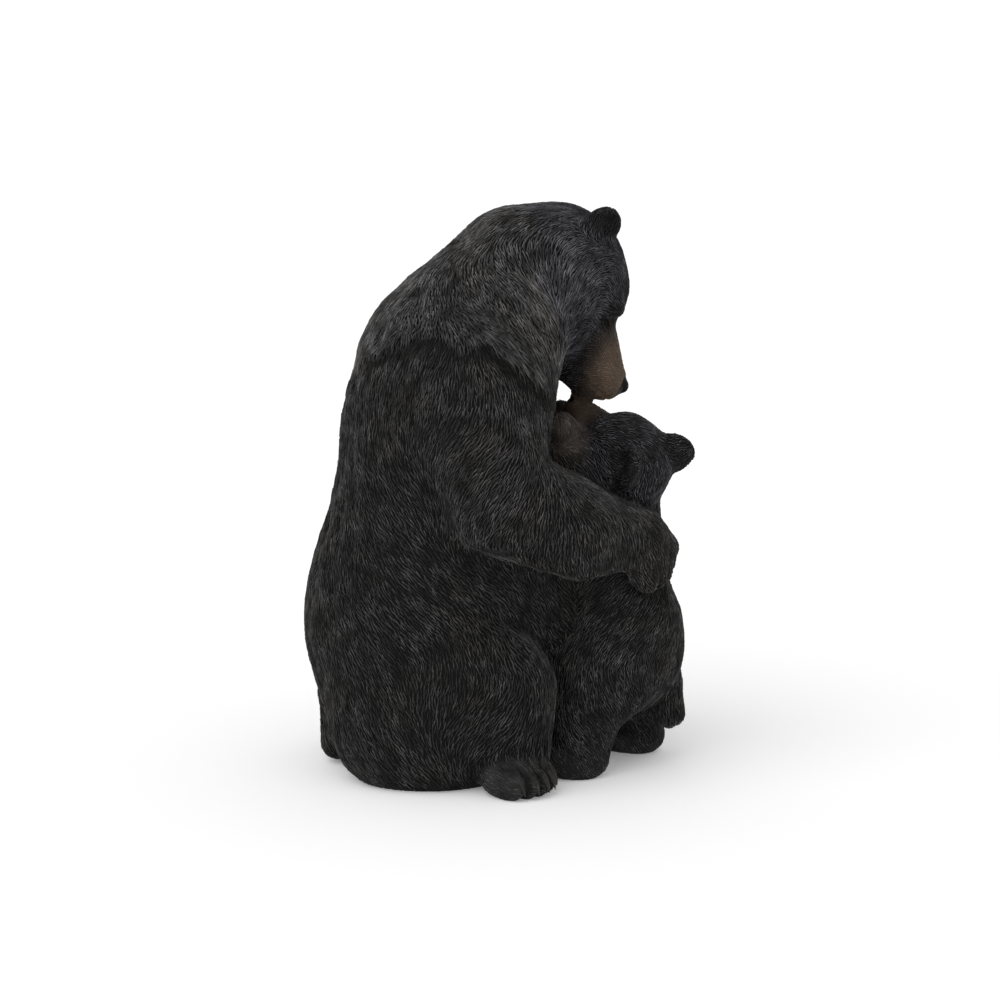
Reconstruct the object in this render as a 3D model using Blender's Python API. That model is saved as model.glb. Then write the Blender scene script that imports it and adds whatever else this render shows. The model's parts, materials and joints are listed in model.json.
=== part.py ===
# Garden statue of a seated mother bear hugging her cub, cast in one piece.
# Axes: +X is the mother's left, -Y the way she faces, +Z up. Sizes are metres.
# The figure has its own measures, which one height scales.

import bpy
import numpy as np
import openvdb

STATUE_HEIGHT = 0.42
CLAY_HEIGHT = 95.0
UNIT = STATUE_HEIGHT / CLAY_HEIGHT

# The clay is sampled on a grid this fine, then thinned to this many faces.
CLAY_GRAIN = 0.72
SMOOTHING_PASSES = 3
FACE_COUNT = 9400

COAT_COLOUR = (0.022, 0.021, 0.020, 1)
COAT_ROUGHNESS = 0.62

OUTSIDE = 30.0


class Frame:
    """A place, a size and a turn, in which a head, an ear or a paw is modelled along its own axes:
    -Y towards its nose or toes, +Z towards its crown or back, +X to its left."""

    def __init__(self, origin=(0, 0, 0), size=1.0, nose=(0, -1, 0), crown=(0, 0, 1)):
        self.origin = np.array(origin, np.float32)
        self.size = size
        ahead = np.array(nose, np.float32) / np.linalg.norm(nose)
        left = np.cross(crown, ahead)
        left = left / np.linalg.norm(left)
        self.turn = np.array([left, -ahead, np.cross(ahead, left)], np.float32).T

    def local(self, points):
        """World points as seen from this frame, measured in its own size."""
        return (points - self.origin) @ self.turn / self.size

    def child(self, place, size, nose, crown):
        """A smaller frame inside this one."""
        origin = self.turn @ (np.array(place, np.float32) * self.size) + self.origin
        return Frame(origin, self.size * size, self.turn @ np.array(nose), self.turn @ np.array(crown))


GROUND_FRAME = Frame()


class Clay:
    """A lump of clay: the signed distance to its surface at every point of a grid."""

    def __init__(self, points):
        self.points = points
        self.field = np.full(len(points), OUTSIDE, np.float32)

    def add(self, distance, blend):
        """Presses a mass on, with a fillet about as wide as blend."""
        self.field = smooth_lower(self.field, distance, blend)

    def egg(self, centre, radii, blend, frame=GROUND_FRAME):
        self.add(egg(frame.local(self.points), centre, radii) * frame.size, blend)

    def hollow(self, centre, radii, blend, frame=GROUND_FRAME):
        """Takes an egg away, with edges rounded by blend."""
        distance = egg(frame.local(self.points), centre, radii) * frame.size
        self.field = -smooth_lower(-self.field, distance, blend)

    def limb(self, stations, blend, frame=GROUND_FRAME):
        self.add(limb(frame.local(self.points), stations) * frame.size, blend)


def smooth_lower(first, second, blend):
    """The lower of two distances, rounded where they are nearly equal."""
    share = np.clip(0.5 + 0.5 * (first - second) / blend, 0, 1)
    return first + (second - first) * share - blend * share * (1 - share)


def egg(points, centre, radii):
    """Distance to an ellipsoid."""
    offset = points - np.array(centre, np.float32)
    radii = np.array(radii, np.float32)
    level = np.linalg.norm(offset / radii, axis=1)
    slope = np.linalg.norm(offset / radii**2, axis=1) + 1e-6
    return level * (level - 1) / slope


def limb(points, stations):
    """Distance to a chain of tapered round bars through stations of (x, y, z, radius)."""
    nearest = np.full(len(points), OUTSIDE * 4, np.float32)
    for start, end in zip(stations, stations[1:]):
        a, b = np.array(start[:3], np.float32), np.array(end[:3], np.float32)
        along = np.clip((points - a) @ (b - a) / ((b - a) @ (b - a)), 0, 1)
        gap = np.linalg.norm(points - a - along[:, None] * (b - a), axis=1)
        nearest = np.minimum(nearest, gap - start[3] - along * (end[3] - start[3]))
    return nearest


def bear_head(clay, frame, muzzle_length, ear_size, ear_root):
    """A bear's head, where 1 is the skull's radius. The muzzle's length counts from the skull,
    and the ear's root is how far back and how high the near edge of the ear sits."""
    clay.egg((0, 0, 0), (0.95, 1.02, 0.96), 2.0, frame)
    clay.egg((0, -0.38, 0.16), (0.72, 0.70, 0.64), 1.5, frame)
    tip = -0.95 - muzzle_length
    clay.limb([(0, -0.60, -0.22, 0.66), (0, tip + 0.33, -0.30, 0.33)], 1.4, frame)
    clay.limb([(0, -0.45, -0.66, 0.52), (0, tip + 0.46, -0.56, 0.26)], 0.8, frame)
    clay.egg((0, tip + 0.11, -0.15), (0.17, 0.13, 0.13), 0.4, frame)
    for side in (-1, 1):
        clay.egg((side * 0.46, -0.35, -0.48), (0.56, 0.78, 0.58), 1.6, frame)
        clay.egg((side * 0.34, -0.84, 0.34), (0.22, 0.20, 0.14), 0.6, frame)
        clay.hollow((side * 0.50, -1.00, 0.20), (0.12, 0.13, 0.09), 0.5, frame)
        clay.egg((side * 0.46, -0.92, 0.19), (0.09, 0.09, 0.08), 0.1, frame)
        opening, rim = (side * 0.98, -0.70, 0.05), (side * 0.45, 0.22, 0.85)
        ear = frame.child((side * 0.70, *ear_root), ear_size, opening, rim)
        clay.egg((0, 0.1, -0.20), (1.1, 0.60, 0.85), 1.5, ear)
        clay.egg((0, 0, 0.30), (1.0, 0.48, 1.0), 0.8, ear)
        clay.hollow((0, -0.56, 0.46), (0.64, 0.44, 0.66), 0.3, ear)


def paw(clay, frame, width, blend):
    """A broad paw with five toes, whose wrist is at the frame's origin and whose toes reach to 1."""
    clay.egg((0, -0.42, 0), (width * 0.56, 0.50, 0.38), blend, frame)
    for toe in range(5):
        across = (toe - 2) * width * 0.205
        reach = -0.74 + 0.9 * across**2
        clay.egg((across, reach, -0.02), (width * 0.135, 0.30, 0.26), 0.4, frame)


def mother_body(clay):
    """The seated trunk, from the rump to the neck, with the tail."""
    clay.egg((0, 13.2, 25.5), (21, 19.7, 27), 0.1)
    clay.egg((0, 9.0, 56), (19, 17.5, 23), 9.5)
    clay.egg((0, 0, 44), (15, 10, 22), 6)
    clay.egg((0, 1, 27), (14, 12, 22), 4)
    clay.egg((0, -9, 32), (8, 8, 24), 2)
    clay.limb([(0, -7, 2, 7), (0, -7, 26, 8)], 2)
    clay.limb([(0, 27.1, 12, 3.4), (0, 27.4, 3.5, 3.1)], 1.2)
    for side in (-1, 1):
        clay.egg((side * 10.5, 12, 9), (12.5, 16, 13), 5)
        clay.egg((side * 12, 4, 66), (10.5, 13, 14), 5)
        clay.limb([(side * 8.5, -10, 41, 3.2), (side * 8.5, -9.2, 50, 2.8)], 1.5)


def mother_mantle(clay):
    """The thick neck and withers, whose fur ends in a ridge over the shoulders."""
    clay.egg((0, 6.5, 70), (15, 16.5, 14), 3.5)
    clay.limb([(0.5, 2, 76.5, 11.5), (3.0, -6.5, 82.5, 11.2)], 4)
    clay.limb([(1, 7.0, 77.2, 8.9), (2, -1.8, 84.6, 9.7)], 3)
    for side in (-1, 1):
        clay.egg((side * 8, -1, 74), (8, 9.5, 10), 3)


def hind_leg(clay, side):
    """A folded hind leg with its foot flat on the ground and turned outwards."""
    clay.egg((side * 15.0, 4.0, 15), (9.5, 12.6, 13.5), 1.8)
    clay.limb([(side * 15, -0.5, 15, 8), (side * 16, -2.2, 7, 6)], 3)
    foot = Frame((side * 17.0, 1.0, 2.6), 10.6, (side * 0.60, -0.80, 0), (0, 0, 1))
    paw(clay, foot, 1.02, 2)


def hugging_arm(clay, stations, toes, back):
    """A foreleg bent round the cub, ending in a broad paw."""
    clay.limb(stations, 2.6)
    wrist = np.array(stations[-1][:3]) + np.array(back)
    paw(clay, Frame(wrist, 9.6, toes, back), 1.05, 1.5)


def cub_body(clay):
    """The cub stands on its hind legs against the mother's belly, with its forepaws on her chest."""
    clay.egg((0, -20.0, 20), (9.6, 11.0, 11.5), 0.1)
    clay.limb([(0, -19.8, 26, 9.8), (0, -17.5, 40, 8.8)], 4)
    clay.limb([(0, -18.5, 42, 8), (-3.6, -20.6, 49, 6.4)], 3)
    clay.limb([(0, -28.3, 14, 2.6), (0, -29.3, 8.3, 2.2)], 1)
    clay.egg((-6.5, -17, 17), (5.5, 9, 9), 2)
    clay.limb([(-7.5, -15, 12, 5.8), (-8.8, -13, 3.5, 5.0)], 2)
    clay.egg((-9.4, -11.5, 2.8), (4.1, 6.7, 3.3), 1)
    clay.egg((6.5, -20.5, 16), (5.5, 8, 9), 2)
    clay.limb([(6.8, -22.5, 11, 5.4), (7.3, -24, 3.5, 4.3)], 2)
    clay.egg((7.3, -22.0, 2.8), (3.9, 6, 3.2), 1)
    for side in (-1, 1):
        shoulder, elbow, wrist = (side * 6, -17, 43, 5.0), (side * 8, -14.2, 49, 4.2), (side * 6.7, -11, 55, 3.5)
        clay.limb([shoulder, elbow, wrist], 2)
        paw(clay, Frame((side * 6.7, -11.4, 54.2), 7.0, (side * -0.1, 0.16, 1), (side * 0.2, -1, 0.1)), 0.95, 1)


def pressed_lips(clay):
    """The cub's lips are pressed to her chin, where the two heads are cast together."""
    clay.egg((1.1, -14.3, 63.8), (2.2, 2.4, 1.6), 0.8)


def sculpt(points):
    """The whole statue as a signed distance at each point."""
    mother = Clay(points)
    mother_body(mother)
    for side in (-1, 1):
        hind_leg(mother, side)
    near_arm = [(-13.5, 5, 67, 10.5), (-17.5, 0, 49, 9.2), (-15.5, -12.8, 43.0, 8.0), (-9.7, -22.6, 40.8, 5.2)]
    far_arm = [(13.5, 5, 67, 10.5), (17.5, -1, 48, 9.2), (16, -14, 40, 7.8), (10.5, -21, 36, 5.2)]
    hugging_arm(mother, near_arm, (0.42, -0.42, -0.80), (-0.60, -0.78, 0.10))
    hugging_arm(mother, far_arm, (-0.50, -0.55, -0.62), (0.62, -0.72, 0.2))
    mother_mantle(mother)
    head = Frame((3.5, -10.3, 83.8), 11.0, (-0.10, -0.52, -0.85), (0.25, -0.82, 0.52))
    bear_head(mother, head, 1.12, 0.30, (0.22, 0.67))

    cub = Clay(points)
    cub_body(cub)
    cub_head = Frame((-6.2, -21.4, 53.2), 7.4, (0.50, 0.56, 0.66), (-0.57, -0.36, 0.74))
    bear_head(cub, cub_head, 1.18, 0.44, (0.42, 0.52))
    pressed_lips(cub)

    mother.add(cub.field, 0.6)
    return mother.field


def clay_points():
    """The grid on which the clay is sampled: its points, its shape and its first corner."""
    low, high = np.array((-30, -40, -8)), np.array((30, 40, 108))
    shape = tuple(np.ceil((high - low) / CLAY_GRAIN).astype(int))
    steps = np.indices(shape).reshape(3, -1).T
    return (low + steps * CLAY_GRAIN).astype(np.float32), shape, low


def skin(field, shape, low):
    """The surface where the sampled field is zero, as a mesh in metres."""
    grid = openvdb.FloatGrid(OUTSIDE)
    grid.copyFromArray(field.reshape(shape))
    points, triangles, quads = grid.convertToPolygons(isovalue=0.0, adaptivity=0.0)
    mesh = bpy.data.meshes.new("bear_and_cub")
    places = (low + points * CLAY_GRAIN) * UNIT
    mesh.from_pydata(places.tolist(), [], triangles.tolist() + quads.tolist())
    return mesh


def ground_block():
    """A block that stands on the ground: what it holds of the clay is the statue."""
    bpy.ops.mesh.primitive_cube_add(size=1)
    block = bpy.context.object
    block.name = "ground_block"
    block.scale = (2 * STATUE_HEIGHT,) * 3
    block.location.z = STATUE_HEIGHT
    block.hide_render = True
    block.display_type = "WIRE"
    return block


def finish(statue):
    """Smooths the clay, thins its faces, cuts the underside flat and sets it over the origin."""
    smooth = statue.modifiers.new("smooth", "SMOOTH")
    smooth.iterations = SMOOTHING_PASSES
    thin = statue.modifiers.new("thin", "DECIMATE")
    thin.ratio = FACE_COUNT / (2 * len(statue.data.polygons))
    trim = statue.modifiers.new("flat underside", "BOOLEAN")
    trim.operation = "INTERSECT"
    block = ground_block()
    trim.object = block
    bpy.context.view_layer.objects.active = statue
    for name in ("smooth", "thin", "flat underside"):
        bpy.ops.object.modifier_apply(modifier=name)
    bpy.data.objects.remove(block)
    places = np.array([vertex.co for vertex in statue.data.vertices])
    middle = (places.min(0) + places.max(0)) / 2
    places -= (middle[0], middle[1], places[:, 2].min())
    statue.data.vertices.foreach_set("co", places.ravel())
    statue.data.update()
    statue.data.shade_smooth()


def coat_material():
    """Charcoal paint on cast resin."""
    material = bpy.data.materials.new("painted_resin")
    material.use_nodes = True
    shader = material.node_tree.nodes["Principled BSDF"]
    shader.inputs["Base Color"].default_value = COAT_COLOUR
    shader.inputs["Roughness"].default_value = COAT_ROUGHNESS
    return material


def main():
    for old in list(bpy.data.objects):
        bpy.data.objects.remove(old)
    points, shape, low = clay_points()
    mesh = skin(sculpt(points), shape, low)
    statue = bpy.data.objects.new("bear_and_cub", mesh)
    bpy.context.scene.collection.objects.link(statue)
    finish(statue)
    mesh.materials.append(coat_material())


main()
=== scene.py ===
# %% [markdown]
# # A garden statue of a mother bear and her cub
# The real object is one casting of polyresin, about 42 cm high. Its coat is carved all over in
# fine strokes, then painted charcoal black and dry brushed with grey, with brown muzzles.
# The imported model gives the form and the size. This script gives it the carved coat, the faces
# and the paint, on the same frame, and never moves the model itself.

# %% Load the fixed frame
import json
import math

import bmesh
import bpy
import numpy as np
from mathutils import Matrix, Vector

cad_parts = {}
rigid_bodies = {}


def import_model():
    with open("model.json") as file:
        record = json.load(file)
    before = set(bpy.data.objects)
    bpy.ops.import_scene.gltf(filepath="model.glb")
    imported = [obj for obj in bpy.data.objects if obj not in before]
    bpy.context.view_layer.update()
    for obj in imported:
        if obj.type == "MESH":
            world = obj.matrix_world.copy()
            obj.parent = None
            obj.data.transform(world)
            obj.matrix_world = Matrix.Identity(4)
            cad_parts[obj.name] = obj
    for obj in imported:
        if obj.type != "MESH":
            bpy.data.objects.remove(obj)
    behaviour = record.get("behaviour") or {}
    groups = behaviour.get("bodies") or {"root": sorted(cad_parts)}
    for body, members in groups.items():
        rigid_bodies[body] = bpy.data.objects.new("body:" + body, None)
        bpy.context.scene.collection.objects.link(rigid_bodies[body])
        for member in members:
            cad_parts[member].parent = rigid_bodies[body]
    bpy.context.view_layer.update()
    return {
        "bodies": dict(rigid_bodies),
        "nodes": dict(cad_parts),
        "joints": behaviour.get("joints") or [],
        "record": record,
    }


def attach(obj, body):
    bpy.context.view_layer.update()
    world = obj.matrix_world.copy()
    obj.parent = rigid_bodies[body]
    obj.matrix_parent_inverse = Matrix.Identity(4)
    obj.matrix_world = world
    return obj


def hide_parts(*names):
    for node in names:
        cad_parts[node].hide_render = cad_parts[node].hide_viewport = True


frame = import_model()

CASTING_NODE = "bear_and_cub"
BODY = "root"
MILLIMETRE = 0.001

# %% [markdown]
# ## The clay, as distances
# The sculptor's masses are eggs and tapered limbs pressed into each other. Each one is a
# function that says how far a point is from its surface, and a soft minimum melts two masses
# together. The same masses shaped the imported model, so this function knows, at every point,
# which part of which bear is nearest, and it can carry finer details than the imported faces.

# %% Measures of the clay
CLAY_HEIGHT = 95.0
STATUE_HEIGHT = 0.42
UNIT = STATUE_HEIGHT / CLAY_HEIGHT
CLAY_MIDDLE = np.array((0.02, 0.39, 0.0), np.float32)
OUTSIDE = 30.0


class Frame:
    """A place, a size and a turn, in which a head, an ear or a paw is modelled along its own axes:
    -Y towards its nose or toes, +Z towards its crown or back, +X to its left."""

    def __init__(self, origin=(0, 0, 0), size=1.0, nose=(0, -1, 0), crown=(0, 0, 1)):
        self.origin = np.array(origin, np.float32)
        self.size = size
        ahead = np.array(nose, np.float32) / np.linalg.norm(nose)
        left = np.cross(crown, ahead)
        left = left / np.linalg.norm(left)
        self.turn = np.array([left, -ahead, np.cross(ahead, left)], np.float32).T

    def local(self, points):
        """Outer points as seen from this frame, measured in its own size."""
        return (points - self.origin) @ self.turn / self.size

    def outer(self, place):
        """A place in this frame as an outer point."""
        return self.turn @ (np.array(place, np.float32) * self.size) + self.origin

    def child(self, place, size, nose, crown):
        """A smaller frame inside this one."""
        turned = [self.turn @ np.array(axis, np.float32) for axis in (nose, crown)]
        return Frame(self.outer(place), self.size * size, *turned)


GROUND_FRAME = Frame()

# %% Distances to an egg and to a limb
def smooth_lower(first, second, blend):
    """The lower of two distances, rounded where they are nearly equal."""
    share = np.clip(0.5 + 0.5 * (first - second) / blend, 0, 1)
    return first + (second - first) * share - blend * share * (1 - share)


def egg(points, centre, radii):
    """Distance to an ellipsoid."""
    offset = points - np.array(centre, np.float32)
    radii = np.array(radii, np.float32)
    level = np.linalg.norm(offset / radii, axis=1)
    slope = np.linalg.norm(offset / radii**2, axis=1) + 1e-6
    return level * (level - 1) / slope


def limb(points, stations):
    """Distance to a chain of tapered round bars through stations of (x, y, z, radius)."""
    nearest = np.full(len(points), OUTSIDE * 4, np.float32)
    for start, end in zip(stations, stations[1:]):
        a, b = np.array(start[:3], np.float32), np.array(end[:3], np.float32)
        along = np.clip((points - a) @ (b - a) / ((b - a) @ (b - a)), 0, 1)
        gap = np.linalg.norm(points - a - along[:, None] * (b - a), axis=1)
        nearest = np.minimum(nearest, gap - start[3] - along * (end[3] - start[3]))
    return nearest


class Clay:
    """A lump of clay: the distance to its surface at each point, and to each of its named parts."""

    def __init__(self, points):
        self.points = points
        self.field = np.full(len(points), OUTSIDE, np.float32)
        self.parts = {}
        self.part = "trunk"

    def add(self, distance, blend):
        """Presses a mass on, with a fillet about as wide as blend."""
        self.field = smooth_lower(self.field, distance, blend)
        self.parts[self.part] = np.minimum(self.parts.get(self.part, OUTSIDE), distance)

    def egg(self, centre, radii, blend, frame=GROUND_FRAME):
        self.add(egg(frame.local(self.points), centre, radii) * frame.size, blend)

    def hollow(self, centre, radii, blend, frame=GROUND_FRAME):
        """Takes an egg away, with edges rounded by blend."""
        distance = egg(frame.local(self.points), centre, radii) * frame.size
        self.field = -smooth_lower(-self.field, distance, blend)

    def limb(self, stations, blend, frame=GROUND_FRAME):
        self.add(limb(frame.local(self.points), stations) * frame.size, blend)


# %% [markdown]
# ## The two bears
# Both heads are one function with other lengths of muzzle and sizes of ear, because a cub's
# head is the same build with a shorter face. Paws are a pad with five toes on an arc.
# Naming the part before each mass is what later tells the comb which way its fur lies.

# %% Heads and paws
MOTHER_HEAD = Frame((3.5, -10.3, 83.8), 11.0, (-0.10, -0.52, -0.85), (0.25, -0.82, 0.52))
CUB_HEAD = Frame((-6.2, -21.4, 53.2), 7.4, (0.50, 0.56, 0.66), (-0.57, -0.36, 0.74))
MOTHER_MUZZLE = 1.12
CUB_MUZZLE = 1.18
MOTHER_EARS = 0.30, (0.22, 0.67)
CUB_EARS = 0.44, (0.42, 0.52)
EYE_SPOT = (0.455, -1.03, 0.065)
TOES = 5
TOE_PITCH = 0.205


def ear_frame(frame, side, ear_size, ear_root):
    opening, rim = (side * 0.98, -0.70, 0.05), (side * 0.45, 0.22, 0.85)
    return frame.child((side * 0.70, *ear_root), ear_size, opening, rim)


def bear_head(clay, frame, muzzle_length, ear_size, ear_root):
    """A bear's head, where 1 is the skull's radius. The muzzle's length counts from the skull,
    and the ear's root is how far back and how high the near edge of the ear sits."""
    clay.part = "head"
    clay.egg((0, 0, 0), (0.95, 1.02, 0.96), 2.0, frame)
    clay.egg((0, -0.38, 0.16), (0.72, 0.70, 0.64), 1.5, frame)
    tip = -0.95 - muzzle_length
    clay.limb([(0, -0.60, -0.22, 0.66), (0, tip + 0.33, -0.30, 0.33)], 1.4, frame)
    clay.limb([(0, -0.45, -0.66, 0.52), (0, tip + 0.46, -0.56, 0.26)], 0.8, frame)
    clay.egg((0, tip + 0.11, -0.15), (0.17, 0.13, 0.13), 0.4, frame)
    for side in (-1, 1):
        clay.part = "head"
        clay.egg((side * 0.46, -0.35, -0.48), (0.56, 0.78, 0.58), 1.6, frame)
        clay.egg((side * 0.34, -0.84, 0.34), (0.22, 0.20, 0.14), 0.6, frame)
        ear = ear_frame(frame, side, ear_size, ear_root)
        clay.part = "ear"
        clay.egg((0, 0.1, -0.20), (1.1, 0.60, 0.85), 1.5, ear)
        clay.egg((0, 0, 0.30), (1.0, 0.48, 1.0), 0.8, ear)
        clay.hollow((0, -0.56, 0.46), (0.64, 0.44, 0.66), 0.3, ear)


def paw(clay, frame, width, blend):
    """A broad paw with five toes, whose wrist is at the frame's origin and whose toes reach to 1."""
    clay.egg((0, -0.42, 0), (width * 0.56, 0.50, 0.38), blend, frame)
    for toe in range(TOES):
        across = (toe - 2) * width * TOE_PITCH
        reach = -0.74 + 0.9 * across**2
        clay.egg((across, reach, -0.02), (width * 0.135, 0.30, 0.26), 0.4, frame)


# %% Where the paws are
NEAR_ARM = [
    (-13.5, 5, 67, 10.5), (-17.5, 0, 49, 9.2), (-15.5, -12.8, 43.0, 8.0), (-9.7, -22.6, 40.8, 5.2),
]
FAR_ARM = [(13.5, 5, 67, 10.5), (17.5, -1, 48, 9.2), (16, -14, 40, 7.8), (10.5, -21, 36, 5.2)]
HAND_SIZE = 9.6
NEAR_HAND = Frame((-10.3, -23.38, 40.9), HAND_SIZE, (0.42, -0.42, -0.80), (-0.60, -0.78, 0.10))
FAR_HAND = Frame((11.12, -21.72, 36.2), HAND_SIZE, (-0.50, -0.55, -0.62), (0.62, -0.72, 0.2))
HAND_WIDTH = 1.05
FOOT_WIDTH = 1.02
CUB_HAND_WIDTH = 0.95
MOTHER_FEET = [Frame((side * 17.0, 1.0, 2.6), 10.6, (side * 0.60, -0.80, 0)) for side in (-1, 1)]
CUB_HANDS = [
    Frame((side * 6.7, -11.4, 54.2), 7.0, (side * -0.1, 0.16, 1), (side * 0.2, -1, 0.1))
    for side in (-1, 1)
]

# %% The mother's masses
def mother_masses(clay):
    """The seated trunk, the tail, the folded hind legs, the hugging arms and the mantle."""
    clay.part = "trunk"
    clay.egg((0, 13.2, 25.5), (21, 19.7, 27), 0.1)
    clay.egg((0, 9.0, 56), (19, 17.5, 23), 9.5)
    clay.egg((0, 0, 44), (15, 10, 22), 6)
    clay.egg((0, 1, 27), (14, 12, 22), 4)
    clay.egg((0, -9, 32), (8, 8, 24), 2)
    clay.limb([(0, -7, 2, 7), (0, -7, 26, 8)], 2)
    clay.limb([(0, 27.1, 12, 3.4), (0, 27.4, 3.5, 3.1)], 1.2)
    for side in (-1, 1):
        clay.egg((side * 10.5, 12, 9), (12.5, 16, 13), 5)
        clay.egg((side * 12, 4, 66), (10.5, 13, 14), 5)
        clay.limb([(side * 8.5, -10, 41, 3.2), (side * 8.5, -9.2, 50, 2.8)], 1.5)
    for side, foot in zip((-1, 1), MOTHER_FEET):
        clay.part = "leg"
        clay.egg((side * 15.0, 4.0, 15), (9.5, 12.6, 13.5), 1.8)
        clay.limb([(side * 15, -0.5, 15, 8), (side * 16, -2.2, 7, 6)], 3)
        clay.part = "foot"
        paw(clay, foot, FOOT_WIDTH, 2)
    for stations, hand in ((NEAR_ARM, NEAR_HAND), (FAR_ARM, FAR_HAND)):
        clay.part = "arm"
        clay.limb(stations, 2.6)
        clay.part = "hand"
        paw(clay, hand, HAND_WIDTH, 1.5)
    clay.part = "mantle"
    clay.egg((0, 6.5, 70), (15, 16.5, 14), 3.5)
    clay.limb([(0.5, 2, 76.5, 11.5), (3.0, -6.5, 82.5, 11.2)], 4)
    clay.limb([(1, 7.0, 77.2, 8.9), (2, -1.8, 84.6, 9.7)], 3)
    for side in (-1, 1):
        clay.egg((side * 8, -1, 74), (8, 9.5, 10), 3)
    bear_head(clay, MOTHER_HEAD, MOTHER_MUZZLE, *MOTHER_EARS)


# %% The cub's masses
def cub_masses(clay):
    """The cub stands on its hind legs against the mother's belly, with its forepaws on her chest."""
    clay.part = "trunk"
    clay.egg((0, -20.0, 20), (9.6, 11.0, 11.5), 0.1)
    clay.limb([(0, -19.8, 26, 9.8), (0, -17.5, 40, 8.8)], 4)
    clay.limb([(0, -18.5, 42, 8), (-3.6, -20.6, 49, 6.4)], 3)
    clay.limb([(0, -28.3, 14, 2.6), (0, -29.3, 8.3, 2.2)], 1)
    clay.part = "leg"
    clay.egg((-6.5, -17, 17), (5.5, 9, 9), 2)
    clay.limb([(-7.5, -15, 12, 5.8), (-8.8, -13, 3.5, 5.0)], 2)
    clay.part = "foot"
    clay.egg((-9.4, -11.5, 2.8), (4.1, 6.7, 3.3), 1)
    clay.part = "leg"
    clay.egg((6.5, -20.5, 16), (5.5, 8, 9), 2)
    clay.limb([(6.8, -22.5, 11, 5.4), (7.3, -24, 3.5, 4.3)], 2)
    clay.part = "foot"
    clay.egg((7.3, -22.0, 2.8), (3.9, 6, 3.2), 1)
    for side, hand in zip((-1, 1), CUB_HANDS):
        clay.part = "arm"
        shoulder, elbow = (side * 6, -17, 43, 5.0), (side * 8, -14.2, 49, 4.2)
        clay.limb([shoulder, elbow, (side * 6.7, -11, 55, 3.5)], 2)
        clay.part = "hand"
        paw(clay, hand, CUB_HAND_WIDTH, 1)
    bear_head(clay, CUB_HEAD, CUB_MUZZLE, *CUB_EARS)
    clay.part = "head"
    clay.egg((1.1, -14.3, 63.8), (2.2, 2.4, 1.6), 0.8)


# %% [markdown]
# ## The faces
# Lids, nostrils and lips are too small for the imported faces. Each is a dent or a swelling that
# is added to the distance itself: a smooth bump whose width and depth are shares of the head.
# The lid ring is drawn round the place where the eye sits on the surface.

# %% Lids, nostrils and lips
LID_LENGTH, LID_HEIGHT = 0.075, 0.042
LIP_CORNER, LIP_FRONT = (1.38, -0.72), (1.96, -0.46)


def ramp(values, start, end):
    """0 at start, 1 at end, with soft ends."""
    share = np.clip((values - start) / (end - start), 0, 1)
    return share * share * (3 - 2 * share)


def swell(distance, width):
    """1 at no distance, falling smoothly to 0 over about twice the width."""
    return np.exp(-((distance / width) ** 2))


def eye_frame(frame, side):
    """The eye's own frame on the head: it looks outwards and forwards, under the brow."""
    place = (side * EYE_SPOT[0], *EYE_SPOT[1:])
    return frame.child(place, 1.0, (side * 0.66, -0.72, 0.10), (side * 0.05, -0.25, 1))


def face(clay, frame, muzzle_length):
    """Adds the small forms of the face to the clay's distance."""
    spot = frame.local(clay.points)
    side, ahead, up = np.abs(spot[:, 0]), -spot[:, 1], spot[:, 2]
    nose = 0.95 + muzzle_length
    relief = np.zeros(len(spot), np.float32)
    for eye_side in (-1, 1):
        near = eye_frame(frame, eye_side).local(clay.points)
        ring = np.hypot(near[:, 0] / LID_LENGTH, near[:, 2] / LID_HEIGHT)
        close = swell(near[:, 1], 0.22)
        relief += close * (0.045 * swell(ring, 0.95) - 0.026 * swell(ring - 1.55, 0.42))
        inner = np.hypot((near[:, 0] - eye_side * -0.13) / 0.05, (near[:, 2] + 0.03) / 0.03)
        relief += close * 0.02 * swell(inner, 1.0)
    slant = (LIP_FRONT[1] - LIP_CORNER[1]) / (LIP_FRONT[0] - LIP_CORNER[0])
    lip = LIP_CORNER[1] + slant * (ahead - LIP_CORNER[0])
    shown = np.clip((ahead - LIP_CORNER[0] + 0.08) / 0.16, 0, 1)
    relief += 0.022 * swell(up - lip, 0.025) * shown
    relief += 0.03 * swell(side, 0.02) * swell(up + 0.32, 0.10) * (ahead > nose - 0.25)
    nostril = np.hypot((side - 0.085) / 0.055, (up + 0.165) / 0.042)
    relief += 0.07 * swell(nostril, 0.85) * (ahead > nose - 0.22)
    wing = np.hypot((side - 0.165) / 0.035, (up + 0.125) / 0.05)
    relief += 0.03 * swell(wing, 0.9) * (ahead > nose - 0.26)
    clay.field = clay.field + relief * frame.size


def sculpt(points, finely=True):
    """Both bears at each point, with or without the small forms of their faces."""
    mother, cub = Clay(points), Clay(points)
    mother_masses(mother)
    cub_masses(cub)
    if finely:
        face(mother, MOTHER_HEAD, MOTHER_MUZZLE)
        face(cub, CUB_HEAD, CUB_MUZZLE)
    return mother, cub


def distance(points, finely=True):
    """Distance to the statue, which is cut flat by the ground."""
    mother, cub = sculpt(points, finely)
    both = smooth_lower(mother.field, cub.field, 0.6)
    return np.maximum(both, -points[:, 2])


# %% [markdown]
# ## The skin
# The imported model's faces are large. A copy is merged and remeshed into even quads, the faces
# and paws are divided once more, and each vertex then slides to where the distance is zero.
# That keeps the solid's form, and gives the carver a surface that is fine enough.

# %% Copy the casting and remesh it evenly
SKIN_GRAIN = 2.85 * MILLIMETRE


def linked(name, data):
    """A new object in the scene, with the given mesh, lamp or camera."""
    made = bpy.data.objects.new(name, data)
    bpy.context.scene.collection.objects.link(made)
    return made


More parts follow.
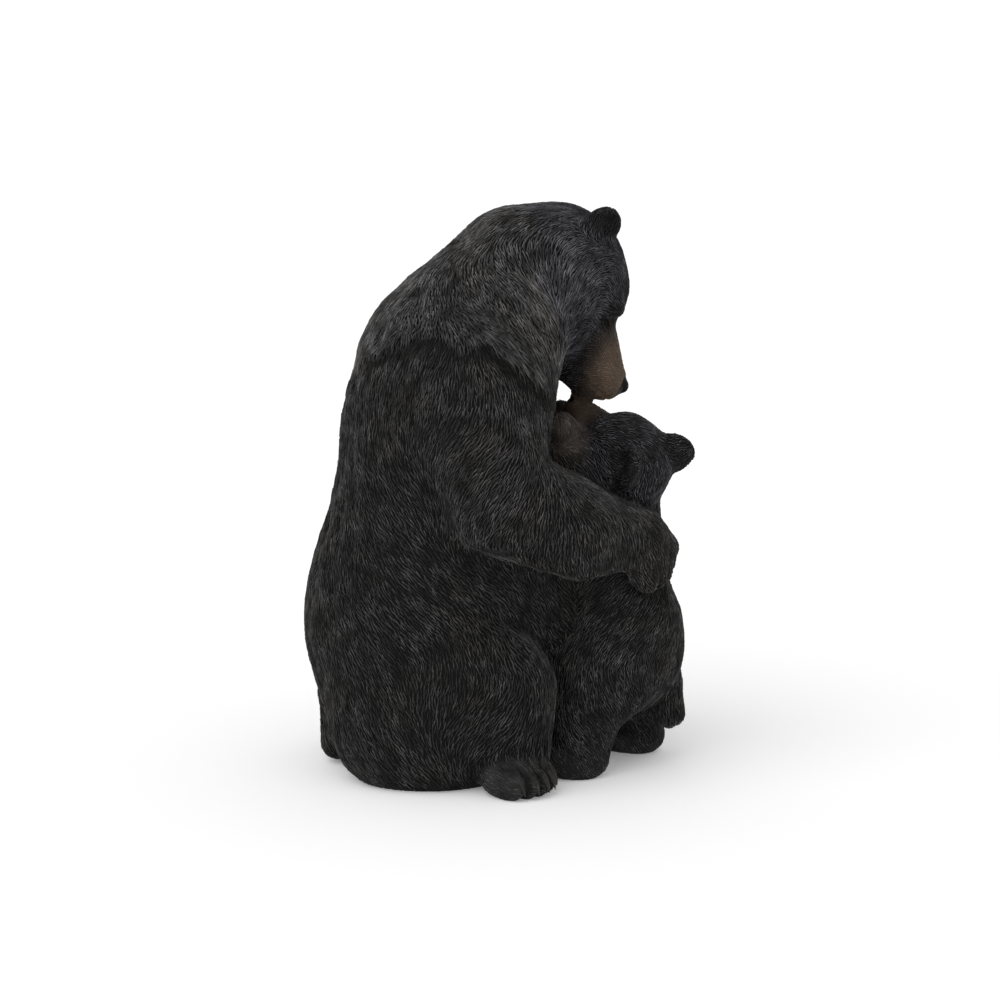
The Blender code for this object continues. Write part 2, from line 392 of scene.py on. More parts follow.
def plain_mesh(made, name):
    """The object's mesh with its modifiers worked in."""
    evaluated = made.evaluated_get(bpy.context.evaluated_depsgraph_get())
    mesh = bpy.data.meshes.new_from_object(evaluated)
    mesh.name = name
    return mesh


def corners(mesh):
    """The mesh's vertices as an array."""
    flat = np.empty(len(mesh.vertices) * 3, np.float32)
    mesh.vertices.foreach_get("co", flat)
    return flat.reshape(-1, 3)


rough = linked("rough_skin", frame["nodes"][CASTING_NODE].data.copy())
welder = bmesh.new()
welder.from_mesh(rough.data)
bmesh.ops.remove_doubles(welder, verts=welder.verts, dist=0.01 * MILLIMETRE)
welder.to_mesh(rough.data)
welder.free()
even = rough.modifiers.new("even skin", "REMESH")
even.mode = "VOXEL"
even.voxel_size = SKIN_GRAIN
skin = linked("casting", plain_mesh(rough, "casting"))
bpy.data.objects.remove(rough)
print("even skin:", len(skin.data.vertices), "vertices")

# %% Divide the faces, ears and paws
FINE_MUZZLE_FROM = 0.55
MOTHER_PAWS = [(foot, FOOT_WIDTH) for foot in MOTHER_FEET]
MOTHER_PAWS += [(hand, HAND_WIDTH) for hand in (NEAR_HAND, FAR_HAND)]


def fine_places(points):
    """How many times the skin is divided at each point: twice at the eyes and noses."""
    depth = np.zeros(len(points), int)
    for head, muzzle in ((MOTHER_HEAD, MOTHER_MUZZLE), (CUB_HEAD, CUB_MUZZLE)):
        spot = head.local(points)
        ahead = -spot[:, 1]
        close = np.linalg.norm(spot + (0, 0.6, 0.1), axis=1) < 1.75
        depth[close & (ahead > FINE_MUZZLE_FROM)] = 1
        eye = np.linalg.norm(np.abs(spot) - np.abs(EYE_SPOT), axis=1) < 0.30
        nose = np.linalg.norm(spot + (0, 0.95 + muzzle, 0.1), axis=1) < 0.34
        depth[(eye | nose) & (ahead > FINE_MUZZLE_FROM)] = 2
    for hand in [*CUB_HANDS, *[paw_frame for paw_frame, _ in MOTHER_PAWS]]:
        toes = np.linalg.norm(hand.local(points) + (0, 0.75, 0), axis=1) < 0.62
        depth[toes] = np.maximum(depth[toes], 1)
    return depth


def divide(mesh, level):
    """Halves every edge of the faces that want more than this many divisions."""
    model = bmesh.new()
    model.from_mesh(mesh)
    centres = np.array([face.calc_center_median() for face in model.faces], np.float32)
    wanted = fine_places(centres / UNIT + CLAY_MIDDLE) > level
    model.faces.ensure_lookup_table()
    edges = {edge for index in np.flatnonzero(wanted) for edge in model.faces[index].edges}
    bmesh.ops.subdivide_edges(model, edges=list(edges), cuts=1, use_grid_fill=True)
    bmesh.ops.triangulate(model, faces=[face for face in model.faces if len(face.verts) > 4])
    model.to_mesh(mesh)
    model.free()


for level in range(2):
    divide(skin.data, level)
print("divided skin:", len(skin.data.vertices), "vertices")

# %% Slide each vertex to the clay's surface
PROBE = 0.04
LONGEST_STEP = 1.2


def slopes(points, here, finely=True):
    """How the distance grows along each axis."""
    steps = np.eye(3, dtype=np.float32) * PROBE
    return np.stack([distance(points + step, finely) - here for step in steps], axis=1) / PROBE


def settle(points, rounds, finely=True):
    """Points moved to where the distance is zero."""
    for _ in range(rounds):
        here = distance(points, finely)
        slope = slopes(points, here, finely)
        steep = np.maximum((slope**2).sum(1), 0.25)
        step = np.clip(here / steep, -LONGEST_STEP, LONGEST_STEP)
        points = points - step[:, None] * slope
    return points


clay_places = settle(corners(skin.data) / UNIT + CLAY_MIDDLE, rounds=3)
left_over = np.abs(distance(clay_places)) * UNIT / MILLIMETRE
print("left over in mm:", round(float(np.percentile(left_over, 99)), 3))

# %% [markdown]
# ## The mantle's edge
# The long fur of her neck and withers ends over the shoulders in a wavy edge, and its locks hang
# free there with a dark gap behind. The edge is a line drawn on both flanks. The skin steps up
# to it, the locks that grow along it are longer and stand further out, and above the line the
# fur follows the neck instead of the arm. Just below it a band gets less grey, as painted shade.

# %% A wavy edge on both shoulders
MANTLE_EDGE = [
    (-10.5, 62.0), (-7.8, 65.2), (-5.7, 68.0), (-1.6, 71.5), (2.6, 75.2), (6.1, 73.9), (7.9, 75.1),
    (10.5, 76.2), (15.1, 74.3), (19.0, 72.3), (20.5, 71.5), (25.0, 69.0),
]
EDGE_PULL = 6.0

mother, cub = sculpt(clay_places)
is_cub = cub.field < mother.field
edge_back, edge_height = np.array(MANTLE_EDGE).T
above_edge = clay_places[:, 2] - np.interp(clay_places[:, 1], edge_back, edge_height)
on_shoulder = ramp(np.abs(clay_places[:, 0]), 5, 9) * ~is_cub
on_shoulder *= ramp(clay_places[:, 1], -10, -6) * (1 - 0.8 * ramp(clay_places[:, 1], 20, 26))
over = ramp(above_edge, -0.5, 0.3)
edge_step = on_shoulder * over * np.exp(-np.maximum(above_edge, 0) / 7)
edge_locks = on_shoulder * swell(above_edge - 0.9, 1.4)
# A band just under the mantle's edge where the grey is held back: painted shade.
edge_shade = on_shoulder * swell(above_edge + 1.3, 1.1)
mantle_depth = -mother.parts["mantle"]
mother.parts["mantle"] = mother.parts["mantle"] + EDGE_PULL * on_shoulder * (1 - 2 * over)
print("skin raised by the edge:", round(float((edge_step > 0.1).mean()), 3), "of the vertices")

# %% [markdown]
# ## Which way the fur lies
# A carver works from a plan of strokes. Here each part has a few guides seen from the side:
# how far back, how high, and how far the stroke leans from straight down towards the nose.
# Between guides the direction is a weighted mean, and both flanks share one plan. Ears and
# paws are simpler: their fur runs to the rim or to the toes.

# %% The plan of strokes
TRUNK_STROKES = [
    (24, 79, -33), (17, 79, -20), (11, 86, -10), (5, 90, -42), (-2, 93, -40), (20, 86, -36),
    (24, 72, -12), (20, 72, -8), (25, 62, 28), (20, 60, 10), (24, 50, 34), (19, 49, 38),
    (28, 39, 25), (17, 40, 43), (8, 42, 40), (2, 36, 52), (-4, 30, 46), (24, 30, 37),
    (11, 27, 42), (28, 18, 34), (12, 82, 18), (5, 82, 24), (-1, 86, 25), (-2, 79, 14),
    (-1, 75, 34), (-7, 72, 26), (-10, 62, 30), (14, 76, 34), (10, 74, 34), (0, 55, 10), (-8, 40, 5),
]
ARM_STROKES = [
    (15, 72, -22), (10, 71, -26), (6, 70, -10), (0, 71, 20), (15, 64, -34), (12, 58, -42),
    (6, 58, -43), (0, 57, -42), (-2, 64, -6), (-7, 60, 24), (10, 52, -30), (4, 50, -38),
    (-3, 50, -36), (-7, 48, -18), (-10, 48, 4), (-14, 48, 36), (-19, 48, 46), (-6, 43, -8),
    (-11, 43, -2), (-15, 43, 14), (-19, 43, 25), (-24, 43, 22), (2, 45, -22), (0, 40, 8),
]
LEG_STROKES = [
    (17, 16, -14), (10, 16, -14), (3, 16, -34), (-2, 16, -34), (-7, 17, -14), (6, 22, 17),
    (1, 22, 8), (-5, 22, 24), (-8, 14, -10), (14, 11, -34), (7, 11, -46), (0, 11, -46),
    (10, 6, -44), (3, 5, -44), (-4, 8, -20), (20, 8, -30),
]
HEAD_STROKES = [
    (-13.8, 86.4, -72), (-9.7, 84, -52), (-6.9, 81, -18), (-5, 78, 2), (-10.7, 78, -44),
    (-17.3, 89, -75), (-19, 73, -162), (-17, 77, -130), (-14, 67, -80), (-10.4, 73, -58),
    (-19.3, 80.5, -150), (-15.5, 94.5, -92), (-10.4, 96.5, -80), (-5, 90, -30), (-15, 80, -70),
]
CUB_TRUNK_STROKES = [
    (-13, 33, -40), (-19, 33, -44), (-24, 33, -44), (-28, 33, -22), (-14, 28, -46),
    (-24, 28, -45), (-31, 28, -5), (-20, 24, -48), (-27, 24, -46), (-17, 19, -38),
    (-24, 19, -36), (-28, 14, -30), (-20, 45, 10), (-26, 45, 15), (-29, 10, 10),
]
CUB_LEG_STROKES = [
    (-10, 16, -7), (-15, 15, 9), (-19, 15, 30), (-24, 15, 40), (-11, 10, 30), (-15, 10, 39),
    (-20, 10, 40), (-12, 5, 35), (-16, 5, 45), (-12, 22, -20), (-20, 22, -36),
]
CUB_HEAD_STROKES = [
    (-14, 63, 80), (-18, 60, 75), (-23, 61, 75), (-28, 58, 50), (-31, 53, 22), (-27, 49, 8),
    (-22, 50, 0), (-19, 54, 35), (-20, 46, 5), (-33, 57, 30),
]
CUB_ARM_STROKES = [(-12, 55, 30), (-14, 50, 25), (-16, 45, 15)]


def planned(points, strokes):
    """The direction of the strokes at each point, as seen from the side."""
    guides = np.array(strokes, np.float32)
    gap = (points[:, None, 1] - guides[:, 0]) ** 2 + (points[:, None, 2] - guides[:, 1]) ** 2
    pull = 1 / (gap + 4.0) ** 2
    lean = np.radians(guides[:, 2])
    ways = np.stack([np.zeros(len(guides)), -np.sin(lean), -np.cos(lean)], axis=1)
    way = pull @ ways.astype(np.float32)
    return way / np.linalg.norm(way, axis=1, keepdims=True)


def towards(points, frames, axis):
    """The given axis of whichever frame is nearest to each point."""
    gaps = np.stack([np.linalg.norm(points - one.origin, axis=1) for one in frames])
    ways = np.stack([one.turn @ np.array(axis, np.float32) for one in frames])
    return ways[gaps.argmin(0)]


# %% Fur of each part: its length in millimetres and its direction
FUR_LENGTH = {
    "trunk": 9.0, "mantle": 11.0, "leg": 8.5, "foot": 6.0, "arm": 8.5, "hand": 5.5,
    "head": 7.5, "ear": 3.6,
}
CUB_SHARE = 0.8
PART_BLEND = 1.2
mother_ears = [ear_frame(MOTHER_HEAD, side, *MOTHER_EARS) for side in (-1, 1)]
cub_ears = [ear_frame(CUB_HEAD, side, *CUB_EARS) for side in (-1, 1)]


def part_ways(points, strokes, ears, hands, feet_way):
    """The direction of the fur of each part at each point."""
    trunk, arm, leg, head = [planned(points, plan) for plan in strokes]
    feet = np.tile(np.array(feet_way, np.float32), (len(points), 1))
    feet[:, 0] *= np.sign(points[:, 0])
    return {
        "trunk": trunk, "mantle": trunk, "arm": arm, "leg": leg, "head": head,
        "ear": towards(points, ears, (0, 0, 1)), "hand": towards(points, hands, (0, -1, 0)),
        "foot": feet,
    }


def fur_of(clay, ways, share):
    """The fur's direction and length, blended where parts meet."""
    nearest = np.minimum.reduce(list(clay.parts.values()))
    way = np.zeros((len(clay.points), 3), np.float32)
    length = np.zeros(len(clay.points), np.float32)
    whole = np.zeros(len(clay.points), np.float32)
    for part, gap in clay.parts.items():
        weight = np.exp(-(gap - nearest) / PART_BLEND)
        way += weight[:, None] * ways[part]
        length += weight * FUR_LENGTH[part] * share
        whole += weight
    return way, length / whole


mother_strokes = (TRUNK_STROKES, ARM_STROKES, LEG_STROKES, HEAD_STROKES)
cub_strokes = (CUB_TRUNK_STROKES, CUB_ARM_STROKES, CUB_LEG_STROKES, CUB_HEAD_STROKES)
mother_hands = NEAR_HAND, FAR_HAND
mother_ways = part_ways(clay_places, mother_strokes, mother_ears, mother_hands, (0.6, -0.8, -0.3))
cub_ways = part_ways(clay_places, cub_strokes, cub_ears, CUB_HANDS, (0.1, -0.6, -0.8))
mother_fur = fur_of(mother, mother_ways, 1.0)
cub_fur = fur_of(cub, cub_ways, CUB_SHARE)
way = np.where(is_cub[:, None], cub_fur[0], mother_fur[0])
fur_length = np.where(is_cub, cub_fur[1], mother_fur[1]) * (1 + 0.5 * edge_locks)
above_ground = clay_places[:, 2] * UNIT / MILLIMETRE
fur_length = np.minimum(fur_length, 1.5 * above_ground + 0.5)
rise = 0.14 + 0.36 * edge_locks
print("cub's share of the skin:", round(float(is_cub.mean()), 2))

# %% [markdown]
# ## Short fur, brown paint and grey paint
# The muzzle's fur is short and its paint brown, the bare nose has none, and the grey dry
# brushing is strongest on the mother's neck and along the mantle's edge; on the neck part of
# that grey is a painted top light. The cups of the ears and the grooves between the toes get
# less grey, as painted shade. These are numbers at each vertex, which both the fur and the
# paint read.

# %% Muzzles, noses and lids
brown, bare, nose_pad, headness = np.zeros((4, len(clay_places)), np.float32)
for clay, head, muzzle, owned, strength in (
    (mother, MOTHER_HEAD, MOTHER_MUZZLE, ~is_cub, 1.0), (cub, CUB_HEAD, CUB_MUZZLE, is_cub, 0.6),
):
    spot = head.local(clay_places)
    side, ahead, up = np.abs(spot[:, 0]), -spot[:, 1], spot[:, 2]
    nose_gap = egg(spot, (0, -0.95 - muzzle + 0.10, -0.15), (0.19, 0.15, 0.145))
    on_head = owned * np.clip(1.5 - clay.parts["head"], 0, 1)
    short = ramp(ahead + 0.25 * up, 0.70, 1.35) * on_head
    fur_length *= 1 - 0.58 * short
    pale_muzzle = ramp(ahead + 0.6 * np.minimum(up + 0.1, 0), 0.95, 1.65)
    brown += pale_muzzle * on_head * (1 - 0.6 * ramp(-up, 0.5, 0.68)) * strength
    nose_pad = np.maximum(nose_pad, on_head * ramp(-nose_gap, -0.05, -0.015))
    bare = np.maximum(bare, nose_pad)
    for eye_side in (-1, 1):
        eye = eye_frame(head, eye_side).local(clay_places)
        ring = np.hypot(eye[:, 0] / LID_LENGTH, eye[:, 2] / LID_HEIGHT)
        bare = np.maximum(bare, on_head * swell(eye[:, 1], 0.3) * (1 - ramp(ring, 0.9, 1.5)))
    inside = owned * np.clip(1.5 - np.minimum(clay.parts["head"], clay.parts["ear"]), 0, 1)
    headness = np.maximum(headness, inside)
print("bare skin:", round(float((bare > 0.5).mean()), 3), "of the vertices")

# %% Painted shade in the cups of the ears and the grooves between the toes
ear_shade, toe_gaps = np.zeros((2, len(clay_places)), np.float32)
for ears, owned in ((mother_ears, ~is_cub), (cub_ears, is_cub)):
    for ear in ears:
        cup = egg(ear.local(clay_places), (0, -0.62, 0.46), (0.72, 0.55, 0.74))
        ear_shade = np.maximum(ear_shade, owned * ramp(-cup, -0.12, 0.12))
for paw_frame, width in MOTHER_PAWS:
    spot = paw_frame.local(clay_places)
    toe = np.abs(spot[:, 0]) / (width * TOE_PITCH)
    near_paw = ~is_cub * (np.linalg.norm(spot, axis=1) < 1.3)
    on_toes = ramp(-spot[:, 1], 0.5, 0.72) * near_paw * (toe < 2)
    toe_gaps = np.maximum(toe_gaps, on_toes * swell(toe % 1 - 0.5, 0.16))
print("shaded skin:", round(float((ear_shade + toe_gaps > 0.5).mean()), 3), "of the vertices")

# %% How much brown and how much grey
MOTHER_GREY = {
    "coat": 0.46, "mane": 0.50, "face": 0.04, "edge": 0.5, "foot": 0.15, "arm": 0.10, "hand": 0.12,
}
CUB_GREY = {"coat": 0.53, "face": 0.24, "foot": 0.1, "hand": 0.35}


def brushed_grey(shares, **places):
    """The grey at each point: the coat's own share, and what each place adds."""
    return shares["coat"] + sum(shares[name] * place for name, place in places.items())


mother_hand, cub_hand = [ramp(-clay.parts["hand"], -3.5, 0.5) for clay in (mother, cub)]
mother_foot, cub_foot = [ramp(-clay.parts["foot"], -2.5, 0.3) for clay in (mother, cub)]
hand_brown = np.where(is_cub, 0.20 * cub_hand, 0.02 * mother_hand)
brown = np.clip(np.maximum(brown * (1 - bare), hand_brown), 0, 1)
# The mane's extra grey is partly dry brushing and partly a painted top light; under the mantle's edge
# on the shoulders a fifth of it is taken off as painted shade.
mane = ramp(mantle_depth, -3.5, -0.5) * ~is_cub * (1 - 0.2 * on_shoulder * (1 - over))
mother_grizzle = brushed_grey(
    MOTHER_GREY, mane=mane, face=headness, edge=edge_locks, foot=mother_foot,
    arm=ramp(-mother.parts["arm"], -2, 0), hand=mother_hand,
)
cub_grizzle = brushed_grey(CUB_GREY, face=headness, foot=cub_foot, hand=cub_hand)
grizzle = np.where(is_cub, cub_grizzle, mother_grizzle)
# Painted shade: less grey under the mantle's edge, in the cups of the ears and in the grooves between
# the toes.
shade = (1 - 0.85 * edge_shade) * (1 - 0.55 * ear_shade) * (1 - 0.8 * toe_gaps)
grizzle = np.clip(grizzle * shade, 0, 1)
mother_paw = np.maximum(mother_foot, 0.7 * mother_hand)
bare_paw = np.where(is_cub, np.maximum(cub_foot, cub_hand), mother_paw)
print("brown skin:", round(float((brown > 0.5).mean()), 3), "of the vertices")

# %% [markdown]
# ## Clumps
# Wet fur, and carved fur, falls in locks a few millimetres wide. Random heights at the
# vertices are averaged with the neighbours that lie along the fur, again and again, so they
# stretch into streaks. The streaks lift and sink the skin by up to a millimetre. The same
# step raises the mantle's edge and sinks the grooves between the mother's toes.

# %% Streaks along the fur
CLUMP_HEIGHT = 0.55 * MILLIMETRE
EDGE_HEIGHT = 3.0 * MILLIMETRE
TOE_GAP_DEPTH = 1.4 * MILLIMETRE
WIDENING_PASSES = 2
STREAK_PASSES = 10
SEED = 7

skin.data.vertices.foreach_set("co", ((clay_places - CLAY_MIDDLE) * UNIT).ravel())
skin.data.update()
normals = np.empty(len(skin.data.vertices) * 3, np.float32)
skin.data.vertex_normals.foreach_get("vector", normals)
normals = normals.reshape(-1, 3)
comb = way - (way * normals).sum(1, keepdims=True) * normals
comb /= np.linalg.norm(comb, axis=1, keepdims=True) + 1e-6
edges = np.empty(len(skin.data.edges) * 2, np.int32)
skin.data.edges.foreach_get("vertices", edges)
edges = edges.reshape(-1, 2)


def averaged(values, pulls):
    """Each value averaged with its neighbours', by how hard each edge pulls."""
    total, weight = values * 0.3, np.full(len(values), 0.3)
    for here, there in (edges.T, edges.T[::-1]):
        total = total + np.bincount(here, pulls * values[there], len(values))
        weight = weight + np.bincount(here, pulls, len(values))
    return total / weight


run = clay_places[edges[:, 1]] - clay_places[edges[:, 0]]
run /= np.linalg.norm(run, axis=1, keepdims=True) + 1e-6
along_fur = np.abs((run * comb[edges[:, 0]]).sum(1)) ** 6 + 0.02
streaks = np.random.default_rng(SEED).normal(size=len(clay_places))
for _ in range(WIDENING_PASSES):
    streaks = averaged(streaks, np.ones(len(edges)))
for _ in range(STREAK_PASSES):
    streaks = averaged(streaks, along_fur)
streaks /= streaks.std()
soft_skin = np.clip(fur_length / 9, 0, 1) * (1 - bare) * (1 - 0.8 * brown)
lift = np.clip(streaks, -2, 2) * CLUMP_HEIGHT * soft_skin * ramp(clay_places[:, 2], 0, 1.2)
lift += edge_step * EDGE_HEIGHT - toe_gaps * TOE_GAP_DEPTH
places = (clay_places - CLAY_MIDDLE) * UNIT + normals * lift[:, None]
skin.data.vertices.foreach_set("co", places.ravel())
skin.data.update()
print("clumps reach", round(float(np.abs(lift).max() / MILLIMETRE), 2), "mm")

# %% Write the numbers on the skin
RELIEFS = {
    "trunk": ("trunk", "leg", "foot"), "mantle": ("mantle", "arm", "hand"), "head": ("head", "ear"),
}


def mark(mesh, name, values, kind="FLOAT"):
    """Keeps a number or a direction at each vertex."""
    attribute = mesh.attributes.new(name, kind, "POINT")
    field = "value" if kind == "FLOAT" else "vector"
    attribute.data.foreach_set(field, np.ascontiguousarray(values, np.float32).ravel())


nearest_part = np.array(list(mother.parts))[np.argmin(list(mother.parts.values()), axis=0)]
underneath = ramp(-normals[:, 2], 0.85, 0.97) * (clay_places[:, 2] < 2)
furry = ramp(clay_places[:, 2], 0.3, 1.0) * (1 - underneath) * (1 - ramp(bare, 0.3, 0.6))
bare_or_paw = np.maximum(bare, bare_paw)
crest = 0.05 + 0.2 * brown + 0.5 * bare_or_paw + 0.15 * is_cub * headness
for region, parts in RELIEFS.items():
    mark(skin.data, "cover_" + region, furry * np.isin(nearest_part, parts) * ~is_cub)
mark(skin.data, "cover_cub", furry * is_cub)
mark(skin.data, "comb", comb, "FLOAT_VECTOR")
mark(skin.data, "fur", fur_length * MILLIMETRE)
mark(skin.data, "brown", brown)
mark(skin.data, "grizzle", grizzle)
mark(skin.data, "nose", nose_pad)
mark(skin.data, "rise", rise)
mark(skin.data, "crest", crest)
mark(skin.data, "tint", 0.7 * bare_or_paw)
mark(skin.data, "head", headness)
skin.data.shade_smooth()


def triangles(mesh):
    """How many triangles the mesh's faces make."""
    return sum(len(polygon.vertices) - 2 for polygon in mesh.polygons)


print("skin triangles:", triangles(skin.data))

# %% [markdown]
# ## The carved coat
# Every stroke of the carver's tool leaves a narrow spindle of fur with its root sunk in and
# its tip free. One spindle of six faces is scattered over the skin by Geometry Nodes, turned
# along the comb, and sized by the fur there. An even scatter with a least distance looks
# carved. A random one would leave bald spots and heaps.

# %% One small function for nodes
def fill(tree, node, inputs):
    """Fills a node's sockets with values or links."""
    for socket, value in inputs.items():
        if isinstance(value, bpy.types.NodeSocket):
            tree.links.new(value, node.inputs[socket])
        else:
            node.inputs[socket].default_value = value


def add(tree, kind, inputs=None, **settings):
    """Adds a node with its settings, and fills its sockets."""
    node = tree.nodes.new(kind)
    for name, value in settings.items():
        setattr(node, name, value)
    fill(tree, node, inputs or {})
    return node


# %% The spindle
def as_mesh(shape, name):
    """The shape that was built up, as a mesh."""
    mesh = bpy.data.meshes.new(name)
    shape.to_mesh(mesh)
    shape.free()
    return mesh


def spindle():
    """One stroke of fur, 1 long, 1 wide and about 1 high, with how far each corner stands out."""
    shape = bmesh.new()
    places = [
        (-0.5, 0, -0.35), (-0.08, 0.5, -0.12), (-0.08, -0.5, -0.12), (-0.10, 0, 0.5), (0.5, 0, 0.12),
    ]
    root, left, right, crest, tip = [shape.verts.new(place) for place in places]
    for three in (
        (root, crest, left), (root, right, crest), (left, crest, tip),
        (crest, right, tip), (root, left, right), (left, tip, right),
    ):
        shape.faces.new(three)
    bmesh.ops.recalc_face_normals(shape, faces=shape.faces)
    mesh = as_mesh(shape, "spindle")
    mark(mesh, "crest", (0.0, 0.0, 0.0, 1.0, 0.8))
    return linked("spindle", mesh)


spindle_object = spindle()
print("spindle faces:", len(spindle_object.data.polygons))

# %% The tree that scatters it
PACKING = 1.6
FUR_INPUTS = {
    "Geometry": "Geometry", "Spindle": "Object", "Cover": "String", "Spacing": "Float",
    "Slimness": "Float", "Height": "Float", "Ruffle": "Float", "Seed": "Int", "Paint": "Material",
}


def fur_tree():
    """Geometry nodes that cover a skin in spindles, combed along its comb attribute."""
    tree = bpy.data.node_groups.new("carved fur", "GeometryNodeTree")
    for name, kind in FUR_INPUTS.items():
        tree.interface.new_socket(name, in_out="INPUT", socket_type="NodeSocket" + kind)
    tree.interface.new_socket("Geometry", in_out="OUTPUT", socket_type="NodeSocketGeometry")
    given = add(tree, "NodeGroupInput").outputs
    cover = add(tree, "GeometryNodeInputNamedAttribute", {"Name": given["Cover"]})
    packing = add(tree, "ShaderNodeMath", {0: PACKING, 1: given["Spacing"]}, operation="DIVIDE")
    density = add(tree, "ShaderNodeMath", {0: packing.outputs[0], 1: 2.0}, operation="POWER")
    scatter = add(tree, "GeometryNodeDistributePointsOnFaces", {
        "Mesh": given["Geometry"], "Distance Min": given["Spacing"], "Seed": given["Seed"],
        "Density Max": density.outputs[0], "Density Factor": cover.outputs["Attribute"],
    }, distribute_method="POISSON")
    comb = add(tree, "GeometryNodeInputNamedAttribute", {"Name": "comb"}, data_type="FLOAT_VECTOR")
    upright = add(tree, "FunctionNodeAxesToRotation", {
        "Primary Axis": scatter.outputs["Normal"], "Secondary Axis": comb.outputs["Attribute"],
    }, primary_axis="Z", secondary_axis="X")
    least = add(tree, "ShaderNodeMath", {0: given["Ruffle"], 1: -1.0}, operation="MULTIPLY")
    low = add(tree, "ShaderNodeCombineXYZ", {"X": -0.3, "Y": 0.0, "Z": least.outputs[0]})
    rise, fur = [
        add(tree, "GeometryNodeInputNamedAttribute", {"Name": name}).outputs["Attribute"]
        for name in ("rise", "fur")
    ]
    drop = add(tree, "ShaderNodeMath", {0: rise, 1: -1.0}, operation="MULTIPLY")
    high = add(tree, "ShaderNodeCombineXYZ", {"X": 0.3, "Y": drop.outputs[0], "Z": given["Ruffle"]})
    jitter = add(tree, "FunctionNodeRandomValue", {
        "Min": low.outputs[0], "Max": high.outputs[0], "Seed": given["Seed"],
    }, data_type="FLOAT_VECTOR")
    turn = add(tree, "FunctionNodeEulerToRotation", {0: jitter.outputs[0]})
    turned = add(tree, "FunctionNodeRotateRotation", {
        "Rotation": upright.outputs[0], "Rotate By": turn.outputs[0],
    }, rotation_space="LOCAL")
    spread = add(tree, "FunctionNodeRandomValue", {
        "Min": (0.72, 0.75, 0.6), "Max": (1.3, 1.25, 1.35), "Seed": 11,
    }, data_type="FLOAT_VECTOR")
    thickness = add(tree, "ShaderNodeMath", {0: fur, 1: 0.6}, operation="POWER")
    width, height = [
        add(tree, "ShaderNodeMath", {0: thickness.outputs[0], 1: given[name]}, operation="MULTIPLY")
        for name in ("Slimness", "Height")
    ]
    size = add(tree, "ShaderNodeCombineXYZ", {"X": fur, "Y": width.outputs[0], "Z": height.outputs[0]})
    sizes = add(tree, "ShaderNodeVectorMath", {
        0: size.outputs[0], 1: spread.outputs[0],
    }, operation="MULTIPLY")
    template = add(tree, "GeometryNodeObjectInfo", {"Object": given["Spindle"]})
    strokes = add(tree, "GeometryNodeInstanceOnPoints", {
        "Points": scatter.outputs["Points"], "Instance": template.outputs["Geometry"],
        "Rotation": turned.outputs[0], "Scale": sizes.outputs[0],
    })
    tint = add(tree, "FunctionNodeRandomValue", {"Seed": 5}, data_type="FLOAT")
    tinted = add(tree, "GeometryNodeStoreNamedAttribute", {
        "Geometry": strokes.outputs[0], "Name": "tint", "Value": tint.outputs[1],
    }, data_type="FLOAT", domain="INSTANCE")
    real = add(tree, "GeometryNodeRealizeInstances", {"Geometry": tinted.outputs[0]})
    painted = add(tree, "GeometryNodeSetMaterial", {
        "Geometry": real.outputs[0], "Material": given["Paint"],
    })
    add(tree, "NodeGroupOutput", {0: painted.outputs[0]})
    return tree


def set_inputs(modifier, values):
    """Sets a node modifier's inputs by their names, through their identifiers."""
    for item in modifier.node_group.interface.items_tree:
        if item.item_type == "SOCKET" and item.name in values:
            modifier[item.identifier] = values[item.name]


carved_fur = fur_tree()
print("nodes in the tree:", len(carved_fur.nodes))

# %% [markdown]
# ## The paint
# Polyresin is cast plastic stone: dull, and as rough as its mould. It is sprayed charcoal
# black, and a nearly dry brush then drags grey over it, which catches only on what stands out.
# So the grey reads how far each corner of a stroke stands out, and brown is misted on the
# muzzles. Towards the grooves both the charcoal and the brown are painted darker, as painted
# shade. The noses get a plain black, a little smoother than the coat.

# %% Colours
def linear(hex_colour):
    """An sRGB hex colour as linear numbers, for a shader."""
    parts = [int(hex_colour[i:i + 2], 16) / 255 for i in (1, 3, 5)]
    return (*[c / 12.92 if c <= 0.04045 else ((c + 0.055) / 1.055) ** 2.4 for c in parts], 1.0)


# The first colour is painted shade: the charcoal darkened to near black in the grooves and at the
# strokes' roots.
GROOVE_SHADE_BLACK = linear("#0a0a0a")
CHARCOAL = linear("#191817")
BRUSHED_COOL = linear("#a1a0a8")
BRUSHED_WARM = linear("#a19e95")
MUZZLE_BROWN = linear("#a0856d")
# The darker brown is partly painted shade in the muzzle's grooves and partly the fainter strokes' own
# tone.
MUZZLE_DARK_AND_SHADE = linear("#51463d")
NOSE_BLACK = linear("#1e1d1c")
CLAW_GREY = linear("#3a3735")
MOTTLE_SIZE = 14 * MILLIMETRE
DRIFT_SIZE = 40 * MILLIMETRE
GRIT_SIZE = 0.5 * MILLIMETRE
GRIT_DEPTH = 0.1 * MILLIMETRE
BRUSH_CATCHES_FROM = 0.4
FAINTEST_STROKE = 0.3
FAINTEST_PATCH = 0.3
FAINTEST_BROWN = 0.72
FEW_PALE_STROKES = 2.6


def new_paint(name):
    """A new material, with its tree and its shader."""
    material = bpy.data.materials.new(name)
    material.use_nodes = True
    return material, material.node_tree, material.node_tree.nodes["Principled BSDF"]


def product(tree, *sockets):
    """The sockets' values multiplied together."""
    total = sockets[0]
    for socket in sockets[1:]:
        total = add(tree, "ShaderNodeMath", {0: total, 1: socket}, operation="MULTIPLY").outputs[0]
    return total


